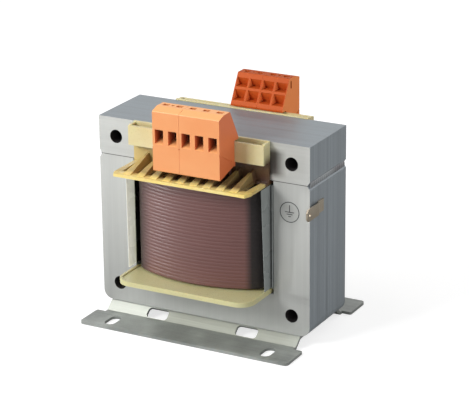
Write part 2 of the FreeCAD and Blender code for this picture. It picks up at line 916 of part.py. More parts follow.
def winding_lead(x):
    """One lead-out wire, from the coil up through the flange's slot to the solder pin."""
    pin_side = pin_reach + bar_thickness / 2 + lead_diameter / 2
    points = [
        (lead_foot_reach, coil_top),
        (lead_foot_reach, upper_flange_top + lead_bend_height),
        (pin_side, upper_flange_top + lead_pin_height),
        (pin_side, rail_base - lead_top_gap),
    ]
    place = side_view(x)
    path = Part.makePolygon([place(*point) for point in points])
    middle = place(*points[0])
    section = []
    for side in range(lead_sides + 1):
        angle = 2 * math.pi * side / lead_sides
        around = Vector(math.cos(angle), math.sin(angle), 0) * (lead_diameter / 2)
        section.append(middle + around)
    return path.makePipeShell([Part.makePolygon(section)], True, False, 1)


def earth_tab():
    """The flat earth blade welded to the core's right side, standing out past the front."""
    root_y = tab_root_start + tab_root_length - half_stack
    step_y = tab_root_start - half_stack
    blade_y = step_y - tab_joggle_length
    tip_y = -half_stack - tab_reach
    centre_z = joint_height - tab_below_joint
    line = [
        (tip_y, half_core + tab_gap + tab_thickness),
        (blade_y, half_core + tab_gap + tab_thickness),
        (step_y, half_core + tab_thickness),
        (root_y, half_core + tab_thickness),
    ]
    section = sheet_profile(line, tab_thickness, tab_bend_radius)
    low = centre_z - tab_width / 2
    strip = extruded(section, lambda a, b: Vector(b, a, low), Vector(0, 0, tab_width))
    face_x = half_core
    corners = [
        (tip_y, low + tab_tip_chamfer),
        (tip_y + tab_tip_chamfer, low),
        (root_y, low),
        (root_y, low + tab_width),
        (tip_y + tab_tip_chamfer, low + tab_width),
        (tip_y, low + tab_width - tab_tip_chamfer),
    ]
    blank = extruded(corners, lambda a, b: Vector(face_x, a, b), Vector(tab_gap + tab_thickness, 0, 0))
    hole_start = Vector(face_x, tip_y + tab_hole_from_tip, centre_z)
    hole = Part.makeCylinder(tab_hole_diameter / 2, tab_gap + tab_thickness, hole_start, Vector(1, 0, 0))
    return strip.common(blank).cut(hole)


def back_housing(first_pole, poles, test_hole):
    """A terminal housing on the back rail, the front moulding after half a turn."""
    return turned(housing(rail_poles - first_pole - poles, poles, test_hole))


def on_poles(make, first_pole, poles):
    """One group with a copy of the piece at each pole."""
    return Part.makeCompound([make(pole_x(index)) for index in range(first_pole, first_pole + poles)])


def all_nodes():
    """Every piece of the transformer under its node's name."""
    front_poles = front_left_poles + front_right_poles
    back_poles = back_left_poles + back_right_poles
    return {
        "core_e_stack": core_e_stack(),
        "core_i_stack": core_i_stack(),
        "weld_bead_right": weld_bead_right(),
        "weld_bead_left": to_left(weld_bead_right()),
        "foot_bracket_front": foot_bracket(),
        "foot_bracket_back": to_back(foot_bracket()),
        "foot_welds_front": foot_welds(),
        "foot_welds_back": to_back(foot_welds()),
        "bobbin": bobbin(),
        "primary_winding": primary_winding(),
        "interlayer_wrap": interlayer_wrap(),
        "secondary_winding": secondary_winding(),
        "side_liner_right": side_liner(film_right_seam_thickness, film_right_reach_top,
                                       film_right_reach_bottom, film_right_front_lift),
        "side_liner_left": to_left(side_liner(film_left_seam_thickness, film_left_reach_top,
                                              film_left_reach_bottom, film_left_front_lift)),
        "front_terminal_two_pole": housing(front_empty_poles, front_left_poles, True),
        "front_terminal_three_pole": housing(front_empty_poles + front_left_poles, front_right_poles, False),
        "back_terminal_left": back_housing(back_empty_poles, back_left_poles, True),
        "back_terminal_right": back_housing(back_empty_poles + back_left_poles, back_right_poles, True),
        "front_current_bars": on_poles(current_bar, front_empty_poles, front_poles),
        "back_current_bars": to_back(on_poles(current_bar, back_empty_poles, back_poles)),
        "front_clamp_springs": on_poles(clamp_spring, front_empty_poles, front_poles),
        "back_clamp_springs": to_back(on_poles(clamp_spring, back_empty_poles, back_poles)),
        "front_winding_leads": on_poles(winding_lead, front_empty_poles, front_poles),
        "back_winding_leads": to_back(on_poles(winding_lead, back_empty_poles, back_poles)),
        "earth_tab": earth_tab(),
    }


os.makedirs("parts", exist_ok=True)
for name, shape in all_nodes().items():
    shape.exportStep(os.path.join("parts", name + ".step"))
    box = shape.BoundBox
    print(name, "valid", shape.isValid(), "solids", len(shape.Solids), "volume", round(shape.Volume, 1),
          "box", [round(v, 2) for v in (box.XMin, box.YMin, box.ZMin, box.XMax, box.YMax, box.ZMax)])
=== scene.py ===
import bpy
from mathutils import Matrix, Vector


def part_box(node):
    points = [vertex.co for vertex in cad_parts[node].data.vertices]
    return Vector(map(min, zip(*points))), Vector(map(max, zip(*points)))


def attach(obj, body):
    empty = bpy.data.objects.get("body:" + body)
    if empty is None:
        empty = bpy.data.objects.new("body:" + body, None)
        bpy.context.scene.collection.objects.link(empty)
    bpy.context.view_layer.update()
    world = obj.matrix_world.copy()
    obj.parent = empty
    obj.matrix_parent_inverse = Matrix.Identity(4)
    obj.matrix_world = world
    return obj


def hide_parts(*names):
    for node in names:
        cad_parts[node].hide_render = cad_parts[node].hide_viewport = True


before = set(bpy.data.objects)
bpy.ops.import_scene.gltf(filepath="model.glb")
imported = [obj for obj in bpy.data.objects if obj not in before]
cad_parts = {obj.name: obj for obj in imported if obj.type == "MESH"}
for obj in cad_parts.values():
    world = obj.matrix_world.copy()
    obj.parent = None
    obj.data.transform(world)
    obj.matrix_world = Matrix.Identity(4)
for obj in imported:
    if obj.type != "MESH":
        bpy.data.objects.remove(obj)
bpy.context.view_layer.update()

import logging
import math
from dataclasses import dataclass, field
from enum import Enum
from typing import Any

import bmesh
import bpy
from mathutils import Matrix, Vector

# Looks of a control transformer: welded steel core on sheet feet, cream bobbin,
# a layer of enamelled wire and two rows of orange clamp terminals.
# Lengths are in metres, and X, Y and Z are those of the row frame.

log = logging.getLogger("transformer")
Colour = tuple[float, float, float, float]
Socket = bpy.types.NodeSocket
MM = 0.001


class Axis(Enum):
    """A direction of the row frame."""

    X = 0
    Y = 1
    Z = 2


class Slot(Enum):
    """The record's slot names for the wire, the film and the core; the script does not read them."""

    WIRE = "enamelled_copper"
    FILM = "liner_film"
    CORE = "core_steel"


@dataclass(frozen=True)
class Core:
    """Sizes of the core, which the finishes and the new pieces follow."""

    width: float = 120.0 * MM
    height: float = 100.0 * MM
    half_stack: float = 20.5 * MM
    yoke: float = 20.0 * MM
    bottom: float = 5.7 * MM

    @property
    def joint(self) -> float:
        """Height where the two stacks meet."""
        return self.bottom + self.height - self.yoke

    @property
    def middle(self) -> float:
        """Height of the core's middle."""
        return self.bottom + self.height / 2


CORE = Core()


class Nodes:
    """Adds nodes to one tree and joins them."""

    def __init__(self, tree: bpy.types.NodeTree) -> None:
        """Keeps the tree that the nodes go into."""
        self.tree = tree

    def add(self, kind: str, inputs: dict[Any, Any] | None = None, **settings: Any) -> bpy.types.Node:
        """Adds a node.

        Args:
            kind: the node's type without its ShaderNode prefix.
            inputs: input name or number to a value, or to the socket that feeds it.
            settings: properties of the node itself.

        Returns:
            The new node.
        """
        node = self.tree.nodes.new("ShaderNode" + kind)
        for name, value in settings.items():
            setattr(node, name, value)
        self.feed(node, inputs or {})
        return node

    def feed(self, node: bpy.types.Node, inputs: dict[Any, Any]) -> None:
        """Sets a node's inputs.

        Args:
            node: the node.
            inputs: input name or number to a value, or to the socket that feeds it.
        """
        for key, value in inputs.items():
            if isinstance(value, Socket):
                self.tree.links.new(value, node.inputs[key])
            else:
                node.inputs[key].default_value = value

    def effect(self, group: bpy.types.NodeTree, inputs: dict[str, float]) -> bpy.types.NodeOutputs:
        """Places a shared effect with the values given, and returns its outputs."""
        return self.add("Group", inputs, node_tree=group).outputs

    def math(self, operation: str, first: Any, second: Any = 0.0) -> Socket:
        """Adds one step of arithmetic.

        Args:
            operation: the Math node's operation.
            first: its first number or socket.
            second: its second number or socket.

        Returns:
            The result's socket.
        """
        return self.add("Math", {0: first, 1: second}, operation=operation).outputs[0]

    def product(self, *factors: Any) -> Socket:
        """Multiplies numbers.

        Args:
            factors: two or more numbers or sockets, of which the first is a socket.

        Returns:
            The product's socket.
        """
        total = factors[0]
        for factor in factors[1:]:
            total = self.math("MULTIPLY", total, factor)
        return total

    def between(self, factor: Any, first: Any, second: Any) -> Socket:
        """Mixes two numbers, from the first at factor 0 to the second at factor 1."""
        return self.add("Mix", {0: factor, 2: first, 3: second}).outputs[0]

    def blend(self, factor: Any, first: Any, second: Any, mode: str = "MIX") -> Socket:
        """Mixes two colours.

        Args:
            factor: how much of the second colour, as a number or socket.
            first: colour or socket at factor 0.
            second: colour or socket at factor 1.
            mode: the Mix node's blend type.

        Returns:
            The mixed colour's socket.
        """
        node = self.add("Mix", {0: factor, 6: first, 7: second}, data_type="RGBA", blend_type=mode)
        return node.outputs[2]

    def toned(self, colour: Any, tone: Socket) -> Socket:
        """Makes a colour lighter or darker.

        Args:
            colour: the colour or its socket.
            tone: the factor for its three channels.

        Returns:
            The toned colour's socket.
        """
        grey = self.add("CombineColor", {0: tone, 1: tone, 2: tone}).outputs[0]
        return self.blend(1.0, colour, grey, "MULTIPLY")

    def spread(self, value: Any, low: float, high: float,
               to_low: float = 0.0, to_high: float = 1.0) -> Socket:
        """Maps a value from one range to another and clamps it.

        Args:
            value: the socket to map.
            low: start of the first range.
            high: end of the first range.
            to_low: start of the second range.
            to_high: end of the second range.

        Returns:
            The mapped value's socket.
        """
        return self.add("MapRange", {0: value, 1: low, 2: high, 3: to_low, 4: to_high}).outputs[0]

    def vary(self, noise: Socket, to_low: float, to_high: float, swing: float = 0.4) -> Socket:
        """Maps a noise that swings about one half to a range.

        Args:
            noise: the noise's socket.
            to_low: start of the range.
            to_high: end of the range.
            swing: how wide the noise swings, from end to end.

        Returns:
            The mapped value's socket.
        """
        return self.spread(noise, 0.5 - swing / 2, 0.5 + swing / 2, to_low, to_high)

    def parts(self, vector: Socket) -> list[Socket]:
        """Splits a vector into the sockets of its X, Y and Z."""
        return list(self.add("SeparateXYZ", {0: vector}).outputs)

    def position(self) -> list[Socket]:
        """Returns the X, Y and Z of the shaded point."""
        return self.parts(self.add("TexCoord").outputs["Object"])

    def facing(self) -> list[Socket]:
        """Returns the X, Y and Z of the direction that the surface faces."""
        return self.parts(self.add("TexCoord").outputs["Normal"])

    def seen(self) -> Socket:
        """Returns a mask of the camera's rays, also those that went through a clear piece."""
        path = self.add("LightPath").outputs
        return self.math("MAXIMUM", path["Is Camera Ray"], path["Is Transmission Ray"])


class Effects:
    """Shader node groups that several finishes share, each built once."""

    def __init__(self) -> None:
        """Builds the groups."""
        self.grain = self._grain()
        self.sheet_lines = self._sheet_lines()
        self.mottle = self._mottle()

    @staticmethod
    def _group(name: str, inputs: dict[str, float], outputs: list[str]) -> tuple[Nodes, Any, Any]:
        """Starts a group with number inputs and number outputs.

        Args:
            name: the group's name.
            inputs: each input's name and value.
            outputs: each output's name.

        Returns:
            The group's node adder, what its inputs give and what its outputs take.
        """
        group = bpy.data.node_groups.new(name, "ShaderNodeTree")
        for label, value in inputs.items():
            socket = group.interface.new_socket(label, in_out="INPUT", socket_type="NodeSocketFloat")
            socket.default_value = value
        for label in outputs:
            group.interface.new_socket(label, in_out="OUTPUT", socket_type="NodeSocketFloat")
        source = group.nodes.new("NodeGroupInput")
        target = group.nodes.new("NodeGroupOutput")
        return Nodes(group), source.outputs, target.inputs

    def _grain(self) -> bpy.types.NodeTree:
        """Streaks of rolled sheet along X, Y or Z, as a value about one half.

        Returns:
            The node group.
        """
        scales = {"X": 20.0, "Y": 900.0, "Z": 900.0}
        nodes, given, wanted = self._group("rolling_grain", scales, ["Value"])
        place = nodes.position()
        scaled = {index: nodes.product(place[index], given[name]) for index, name in enumerate(scales)}
        stretched = nodes.add("CombineXYZ", scaled).outputs[0]
        fine = nodes.add("TexNoise", {"Vector": stretched, "Scale": 1.0, "Detail": 3.0, "Roughness": 0.6})
        wide = nodes.add("TexNoise", {"Vector": stretched, "Scale": 0.22, "Detail": 2.0})
        mixed = nodes.math("ADD", nodes.product(fine.outputs[0], 0.6), nodes.product(wide.outputs[0], 0.4))
        nodes.tree.links.new(mixed, wanted["Value"])
        return nodes.tree

    def _sheet_lines(self) -> bpy.types.NodeTree:
        """The edges of stacked sheets: a value for each sheet and a groove between two.

        Returns:
            The node group.
        """
        nodes, given, wanted = self._group("sheet_lines", {"Sheet": 0.5 * MM}, ["Shade", "Groove"])
        count = nodes.math("DIVIDE", nodes.position()[1], given["Sheet"])
        sheet = nodes.math("FLOOR", count)
        one = nodes.add("TexWhiteNoise", {"W": sheet}, noise_dimensions="1D").outputs[0]
        wide = nodes.add("TexNoise", {"W": count, "Scale": 0.23, "Detail": 2.0}, noise_dimensions="1D")
        shade = nodes.math("ADD", nodes.product(one, 0.5), nodes.product(wide.outputs[0], 0.5))
        away = nodes.math("ABSOLUTE", nodes.math("SUBTRACT", nodes.math("FRACT", count), 0.5))
        nodes.tree.links.new(shade, wanted["Shade"])
        nodes.tree.links.new(nodes.spread(away, 0.34, 0.5), wanted["Groove"])
        return nodes.tree

    def _mottle(self) -> bpy.types.NodeTree:
        """Fine moulding texture and slow variation of a plastic.

        Returns:
            The node group.
        """
        nodes, given, wanted = self._group("moulding_mottle", {"Grain": 2600.0}, ["Fine", "Slow"])
        place = nodes.add("TexCoord").outputs["Object"]
        fine = nodes.add("TexNoise", {"Vector": place, "Scale": given["Grain"], "Detail": 2.0})
        slow = nodes.add("TexNoise", {"Vector": place, "Scale": 55.0, "Detail": 3.0})
        nodes.tree.links.new(fine.outputs[0], wanted["Fine"])
        nodes.tree.links.new(slow.outputs[0], wanted["Slow"])
        return nodes.tree


class Surface(Nodes):
    """The nodes of one material, round a Principled shader."""

    def __init__(self, name: str, effects: Effects | None) -> None:
        """Starts the material.

        Args:
            name: the material's name.
            effects: the shared node groups, where it uses them.
        """
        self.material = bpy.data.materials.new(name)
        self.material.use_nodes = True
        super().__init__(self.material.node_tree)
        self.tree.nodes.clear()
        self.effects = effects
        self.shader = self.add("BsdfPrincipled")
        self.add("OutputMaterial", {0: self.shader.outputs[0]})

    def grain(self, x: float, y: float, z: float) -> Socket:
        """Adds streaks of rolled sheet, as fine along each axis as given: a value about one half."""
        return self.effect(self.effects.grain, {"X": x, "Y": y, "Z": z})["Value"]

    def mottle(self, grain: float = 2600.0) -> bpy.types.NodeOutputs:
        """Adds the moulding texture, with a fine and a slow value."""
        return self.effect(self.effects.mottle, {"Grain": grain})

    def settle(self, values: dict[str, Any]) -> None:
        """Sets the shader's inputs, each to a constant or to the socket that feeds it."""
        self.feed(self.shader, values)

    def cover(self, colour: Socket, rough: Socket, height: Socket, strength: float, depth: float) -> None:
        """Gives the shader its colour, its roughness and a fine relief.

        Args:
            colour: the colour's socket.
            rough: the roughness's socket.
            height: the relief's socket.
            strength: how strongly the relief shows.
            depth: how deep it is.
        """
        bump = self.add("Bump", {"Strength": strength, "Distance": depth, "Height": height})
        self.settle({"Base Color": colour, "Roughness": rough, "Normal": bump.outputs[0]})


@dataclass(frozen=True)
class Finish:
    """What every finish shares: a name and the way its material is made."""

    name: str

    def build(self, effects: Effects | None = None) -> bpy.types.Material:
        """Builds the material.

        Args:
            effects: the shared node groups, where the finish uses them.

        Returns:
            The finished material.
        """
        nodes = Surface(self.name, effects)
        self.paint(nodes)
        return nodes.material

    def paint(self, nodes: Surface) -> None:
        """Adds the finish's own nodes to the material."""
        raise NotImplementedError(self.name)


@dataclass(frozen=True)
class StackedSteel(Finish):
    """Bare electrical steel: brushed sheet faces, and darker cut edges with sheet lines."""

    face: Colour = (0.52, 0.53, 0.51, 1.0)
    edge: Colour = (0.31, 0.345, 0.37, 1.0)
    groove: Colour = (0.12, 0.13, 0.14, 1.0)
    shade: Colour = (0.07, 0.06, 0.055, 1.0)
    # Painted shade inside the bores, also the colour of the dark joint line.
    shade_and_joint_colour: Colour = (0.012, 0.009, 0.009, 1.0)
    along: Axis = Axis.Z
    grain_along: float = 14.0
    grain_across: float = 1500.0
    bore_x: float = (CORE.width - CORE.yoke) / 2
    bore_z: float = (CORE.height - CORE.yoke) / 2
    bore: float = 3.53 * MM
    bore_rim: float = 0.03 * MM
    joint_line: float = 0.12 * MM
    # Painted shade: the faces get darker towards the bottom.
    painted_low_shade: float = 0.70
    painted_shade_top: float = 75.0 * MM
    rail_end: float = 41.0 * MM
    rail_overlap: float = 6.0 * MM
    rail_fade: float = 6.5 * MM
    rail_low: float = CORE.joint + 1.3 * MM
    rail_high: float = CORE.joint + 17.3 * MM
    rail_soft: float = 3.0 * MM

    def rail_shade(self, nodes: Nodes) -> Socket:
        """Mask of the soft shade that the right end of the rail leaves on the face beside it.

        Args:
            nodes: the material's node adder.

        Returns:
            The mask, from 0 to 1.
        """
        x, _, z = nodes.position()
        return nodes.product(
            nodes.spread(x, self.rail_end, self.rail_end + self.rail_fade, 0.9, 0.0),
            nodes.math("GREATER_THAN", x, self.rail_end - self.rail_overlap),
            nodes.spread(z, self.rail_low, self.rail_low + self.rail_soft),
            nodes.spread(z, self.rail_high - self.rail_soft, self.rail_high, 1.0, 0.0))

    def bore_shade_and_joint(self, nodes: Nodes) -> Socket:
        """Mask of the painted shade inside the bores and of the dark thin line where the two stacks meet.

        Args:
            nodes: the material's node adder.

        Returns:
            The mask, from 0 to 1.
        """
        x, _, z = nodes.position()
        from_middle = nodes.math("ABSOLUTE", nodes.math("SUBTRACT", z, CORE.middle))
        across = nodes.math("SUBTRACT", nodes.math("ABSOLUTE", x), self.bore_x)
        up = nodes.math("SUBTRACT", from_middle, self.bore_z)
        away = nodes.math("SQRT", nodes.math("ADD", nodes.product(across, across), nodes.product(up, up)))
        bore = nodes.spread(away, self.bore, self.bore + self.bore_rim, 1.0, 0.0)
        from_joint = nodes.math("ABSOLUTE", nodes.math("SUBTRACT", z, CORE.joint))
        line = nodes.spread(from_joint, self.joint_line, 2 * self.joint_line, 0.8, 0.0)
        return nodes.math("MAXIMUM", bore, line)

    def paint(self, nodes: Surface) -> None:
        """Adds the finish's own nodes.

        Args:
            nodes: the material's nodes.
        """
        grain = nodes.grain(*(self.grain_along if axis is self.along else self.grain_across for axis in Axis))
        lines = nodes.effect(nodes.effects.sheet_lines, {})
        on_face = nodes.spread(nodes.math("ABSOLUTE", nodes.facing()[1]), 0.6, 0.8)
        # Painted shade, darker towards the bottom of the faces.
        height_shade = nodes.spread(nodes.position()[2], 0.0, self.painted_shade_top, self.painted_low_shade, 1.0)
        face = nodes.toned(self.face, nodes.product(nodes.vary(grain, 0.93, 1.05), height_shade))
        face = nodes.blend(self.rail_shade(nodes), face, self.shade)
        edge = nodes.toned(self.edge, nodes.vary(lines["Shade"], 0.84, 1.12, swing=0.5))
        edge = nodes.blend(nodes.product(lines["Groove"], 0.3), edge, self.groove)
        # Painted shade inside the bores, and the dark line where the stacks meet.
        dark = self.bore_shade_and_joint(nodes)
        colour = nodes.blend(dark, nodes.blend(on_face, edge, face), self.shade_and_joint_colour)
        edge_rough = nodes.vary(lines["Shade"], 0.36, 0.56, swing=0.6)
        rough = nodes.between(on_face, edge_rough, nodes.vary(grain, 0.40, 0.55))
        height = nodes.between(on_face, nodes.product(lines["Groove"], -1.0), grain)
        nodes.cover(colour, nodes.math("MAXIMUM", rough, dark), height, strength=0.12, depth=0.2 * MM)
        nodes.settle({"Metallic": nodes.spread(dark, 0.0, 1.0, 0.5, 0.0)})


@dataclass(frozen=True)
class CoatedSteel(Finish):
    """Zinc-coated sheet of the feet: fine speckle, soft streaks along X, worn patches and a painted sheen on
    the upward slope.
    """

    colour: Colour = (0.27, 0.285, 0.27, 1.0)
    pale: Colour = (0.42, 0.44, 0.42, 1.0)
    painted_sheen: Colour = (0.50, 0.52, 0.47, 1.0)

    def paint(self, nodes: Surface) -> None:
        """Adds the finish's own nodes.

        Args:
            nodes: the material's nodes.
        """
        grain = nodes.grain(25.0, 1100.0, 1100.0)
        mottle = nodes.mottle(1500.0)
        base = nodes.blend(nodes.spread(mottle["Slow"], 0.42, 0.68, 0.0, 0.75), self.colour, self.pale)
        upward = nodes.facing()[2]
        # Painted sheen on faces that tilt upward.
        slope = nodes.product(nodes.spread(upward, 0.98, 0.88), nodes.spread(upward, 0.45, 0.6))
        colour = nodes.toned(nodes.blend(slope, base, self.painted_sheen), nodes.vary(grain, 0.86, 1.10))
        height = nodes.math("ADD", mottle["Fine"], grain)
        nodes.cover(colour, nodes.vary(mottle["Fine"], 0.34, 0.52), height, strength=0.10, depth=0.2 * MM)
        nodes.settle({"Metallic": 0.5})


@dataclass(frozen=True)
class RippledWeld(Finish):
    """A weld bead with ripples along its run and a heat-darkened tint."""

    colour: Colour = (0.36, 0.38, 0.39, 1.0)
    tint: Colour = (0.20, 0.19, 0.20, 1.0)
    ripple: float = 2.2 * MM
    along: Axis = Axis.Y

    def paint(self, nodes: Surface) -> None:
        """Adds the finish's own nodes.

        Args:
            nodes: the material's nodes.
        """
        mottle = nodes.mottle(1800.0)
        place = nodes.add("TexCoord").outputs["Object"]
        # At scale 1 a Wave node repeats every tau / 20.
        scale = math.tau / 20 / self.ripple
        wave = nodes.add("TexWave", {"Vector": place, "Scale": scale, "Distortion": 1.5, "Detail": 1.0},
                         bands_direction=self.along.name)
        colour = nodes.blend(nodes.vary(mottle["Slow"], 0.0, 0.8, swing=0.3), self.colour, self.tint)
        height = nodes.math("ADD", wave.outputs[1], nodes.product(mottle["Fine"], 0.3))
        nodes.cover(colour, nodes.vary(mottle["Fine"], 0.35, 0.6), height, strength=0.5, depth=0.3 * MM)
        nodes.settle({"Metallic": 0.8})


@dataclass(frozen=True)
class MouldedPlastic(Finish):
    """A moulded plastic with a fine satin grain, and on request painted shade deep in the wire entries and
    painted light and shade on the side faces and the top.
    """

    colour: Colour = (0.74, 0.31, 0.118, 1.0)
    deep: Colour = (0.69, 0.225, 0.068, 1.0)
    # Painted light and shade: a colour for the side faces and one for the top.
    side_light_and_shade: Colour | None = None
    painted_top_light: Colour | None = None
    # Painted shade deep in the wire entries.
    entry_shade_colour: Colour | None = None
    roughness: float = 0.42
    gloss: float = 0.5
    pole_pitch: float = 7.5 * MM
    entry_half: float = 2.36 * MM
    entry_low: float = 103.5 * MM
    entry_high: float = 111.2 * MM
    entry_mouth: float = 43.1 * MM
    entry_clamp: float = 36.5 * MM
    entry_end: float = 30.0 * MM

    def entry_shade(self, nodes: Nodes) -> Socket:
        """Mask of the painted shade that grows with depth inside the wire entries of a terminal.

        Args:
            nodes: the material's node adder.

        Returns:
            The mask, from 0 at the mouth to 1 at the clamp.
        """
        x, y, z = nodes.position()
        pole = nodes.math("FRACT", nodes.math("DIVIDE", x, self.pole_pitch))
        aside = nodes.math("ABSOLUTE", nodes.math("SUBTRACT", pole, 0.5))
        reach = nodes.math("ABSOLUTE", y)
        return nodes.product(
            nodes.math("LESS_THAN", aside, self.entry_half / self.pole_pitch),
            nodes.math("GREATER_THAN", z, self.entry_low),
            nodes.math("LESS_THAN", z, self.entry_high),
            nodes.math("GREATER_THAN", reach, self.entry_end),
            nodes.spread(reach, self.entry_mouth, self.entry_clamp))

    def paint(self, nodes: Surface) -> None:
        """Adds the finish's own nodes.

        Args:
            nodes: the material's nodes.
        """
        mottle = nodes.mottle()
        across, _, upward = nodes.facing()
        colour = nodes.blend(nodes.vary(mottle["Slow"], 0.0, 0.5), self.colour, self.deep)
        # Painted light and shade by the way each face turns.
        if self.side_light_and_shade:
            colour = nodes.blend(nodes.spread(nodes.math("ABSOLUTE", across), 0.5, 0.9), colour, self.side_light_and_shade)
        if self.painted_top_light:
            colour = nodes.blend(nodes.spread(upward, 0.3, 0.8), colour, self.painted_top_light)
        # Painted shade deep in the wire entries.
        if self.entry_shade_colour:
            colour = nodes.blend(self.entry_shade(nodes), colour, self.entry_shade_colour)
        rough = nodes.vary(mottle["Fine"], self.roughness - 0.06, self.roughness + 0.08)
        nodes.cover(colour, rough, mottle["Fine"], strength=0.08, depth=0.1 * MM)
        nodes.settle({"Specular IOR Level": self.gloss, "IOR": 1.5})


@dataclass(frozen=True)
class BobbinNylon(Finish):
    """Natural nylon: pale where thick, ochre on the upper flange, painted shade on the lower flange, and
    brown on the upper flange that is partly the coil showing through and partly painted shade.
    """

    pale: Colour = (0.72, 0.67, 0.40, 1.0)
    cream: Colour = (0.67, 0.58, 0.30, 1.0)
    ochre: Colour = (0.88, 0.66, 0.20, 1.0)
    brown: Colour = (0.085, 0.038, 0.022, 1.0)
    # Painted shade: the bobbin is darker below lower_top, on the lower flange.
    lower: Colour = (0.55, 0.53, 0.28, 1.0)
    lower_top: float = 36.0 * MM
    lower_fade: float = 4.0 * MM
    flange_low: float = CORE.joint - 2.7 * MM
    flange_fade: float = 1.0 * MM
    flange_high: float = CORE.joint - 0.3 * MM
    rib_middle: float = CORE.joint + 5.8 * MM
    rail_low: float = CORE.joint + 9.4 * MM
    valley_height: float = 7.5 * MM
    valley_reach: float = 19.0 * MM
    valley_fade: float = 3.0 * MM
    right_end: float = 31.0 * MM
    right_fade: float = 5.0 * MM
    apron_height: float = 5.0 * MM
    apron_reach: float = 5.0 * MM
    apron_fade: float = 2.0 * MM
    # The painted shade between the ribs is weaker towards the left.
    shade_left: float = -38.0 * MM
    shade_full: float = -8.0 * MM
    bleed: tuple[float, float, float] = (3.0 * MM, 2.0 * MM, 0.8 * MM)

    def shade_and_show_through(self, nodes: Nodes, slow: Socket, ribs: Socket, upper: Socket) -> Socket:
        """Mask of the brown between the ribs and on the apron behind them: painted shade, deepest low down
        and far in and weaker to the left, which also stands for the coil showing through.

        Args:
            nodes: the material's node adder.
            slow: the slow noise.
            ribs: mask of the height that the ribs take up.
            upper: mask of all above the upper flange's underside.

        Returns:
            The mask, from 0 to 1.
        """
        x, y, rise = nodes.position()
        reach = nodes.math("SUBTRACT", nodes.math("ABSOLUTE", y), CORE.half_stack)
        valley = nodes.product(
            nodes.spread(rise, self.flange_high, self.flange_high + self.valley_height, 1.0, 0.4),
            nodes.spread(reach, self.valley_reach, self.valley_reach + self.valley_fade, 1.0, 0.0),
            ribs,
            nodes.spread(x, self.right_end, self.right_end + self.right_fade, 1.0, 0.25))
        apron = nodes.product(
            nodes.spread(rise, self.rail_low, self.rail_low + self.apron_height, 1.0, 0.0),
            upper,
            nodes.spread(reach, self.apron_reach, self.apron_reach + self.apron_fade, 1.0, 0.0))
        return nodes.product(
            nodes.math("MAXIMUM", valley, apron),
            nodes.spread(x, self.shade_left, self.shade_full, 0.35, 1.0),
            nodes.spread(slow, 0.25, 0.6, 0.85, 1.0))

    def paint(self, nodes: Surface) -> None:
        """Adds the finish's own nodes.

        Args:
            nodes: the material's nodes.
        """
        mottle = nodes.mottle(2400.0)
        slow = mottle["Slow"]
        rise = nodes.position()[2]
        base = nodes.blend(nodes.vary(slow, 0.0, 1.0, swing=0.3), self.pale, self.cream)
        # Painted shade on the lower flange.
        lower_flange_shade = nodes.spread(rise, self.lower_top, self.lower_top + self.lower_fade, 0.7, 0.0)
        base = nodes.blend(lower_flange_shade, base, self.lower)
        upper = nodes.spread(rise, self.flange_low, self.flange_low + self.flange_fade)
        ribs = nodes.product(upper, nodes.spread(rise, self.rib_middle, self.rail_low, 1.0, 0.0))
        base = nodes.blend(nodes.product(ribs, nodes.vary(slow, 0.65, 1.0)), base, self.ochre)
        # Painted shade between the ribs and on the apron, also standing for the coil seen through.
        colour = nodes.blend(self.shade_and_show_through(nodes, slow, ribs, upper), base, self.brown)
        nodes.cover(colour, nodes.vary(mottle["Fine"], 0.26, 0.40), slow, strength=0.10, depth=0.2 * MM)
        nodes.settle({"Subsurface Weight": 0.15, "Subsurface Radius": self.bleed,
                      "Subsurface Scale": 1.0, "Transmission Weight": 0.08, "IOR": 1.5})


@dataclass(frozen=True)
class EnamelledWire(Finish):
    """Copper wire under a dark red-brown enamel, with painted shade on its flanks where they turn into the
    window.
    """

    colour: Colour = (0.112, 0.045, 0.042, 1.0)
    deep: Colour = (0.096, 0.038, 0.035, 1.0)
    painted_shade_colour: Colour = (0.003, 0.0015, 0.0015, 1.0)
    gloss_tint: Colour = (1.0, 0.86, 0.83, 1.0)
    gloss_roughness: float = 0.38
    right_flank: float = 27.6 * MM
    right_fade: float = 3.4 * MM
    left_flank: float = -26.0 * MM
    left_fade: float = 7.5 * MM
    roundness: float = 2.9

    def paint(self, nodes: Surface) -> None:
        """Adds the finish's own nodes.

        Args:
            nodes: the material's nodes.
        """
        mottle = nodes.mottle(1500.0)
        grain = nodes.grain(60.0, 60.0, 520.0)
        x = nodes.position()[0]
        # Painted shade on both ends of the coil where it turns into the dark window, with no gloss there.
        flank_shade = nodes.math("MAXIMUM",
                           nodes.spread(x, self.right_flank, self.right_flank + self.right_fade, 0.0, 0.97),
                           nodes.spread(x, self.left_flank, self.left_flank - self.left_fade, 0.0, 0.8))
        colour = nodes.blend(nodes.vary(grain, 0.0, 0.8, swing=0.3), self.colour, self.deep)
        nodes.cover(nodes.blend(flank_shade, colour, self.painted_shade_colour), nodes.vary(mottle["Slow"], 0.58, 0.64),
                    mottle["Fine"], strength=0.05, depth=0.1 * MM)
        # The enamel shines as if each turn were rounder than its mesh.
        normal = nodes.add("NewGeometry").outputs["Normal"]
        rounder = nodes.add("VectorMath", {0: normal, 1: (1.0, 1.0, self.roundness)}, operation="MULTIPLY")
        rounder = nodes.add("VectorMath", {0: rounder.outputs[0]}, operation="NORMALIZE")
        nodes.settle({"Coat Normal": rounder.outputs[0], "Coat Weight": nodes.math("SUBTRACT", 1.0, flank_shade),
                      "Coat Roughness": self.gloss_roughness, "Coat Tint": self.gloss_tint})


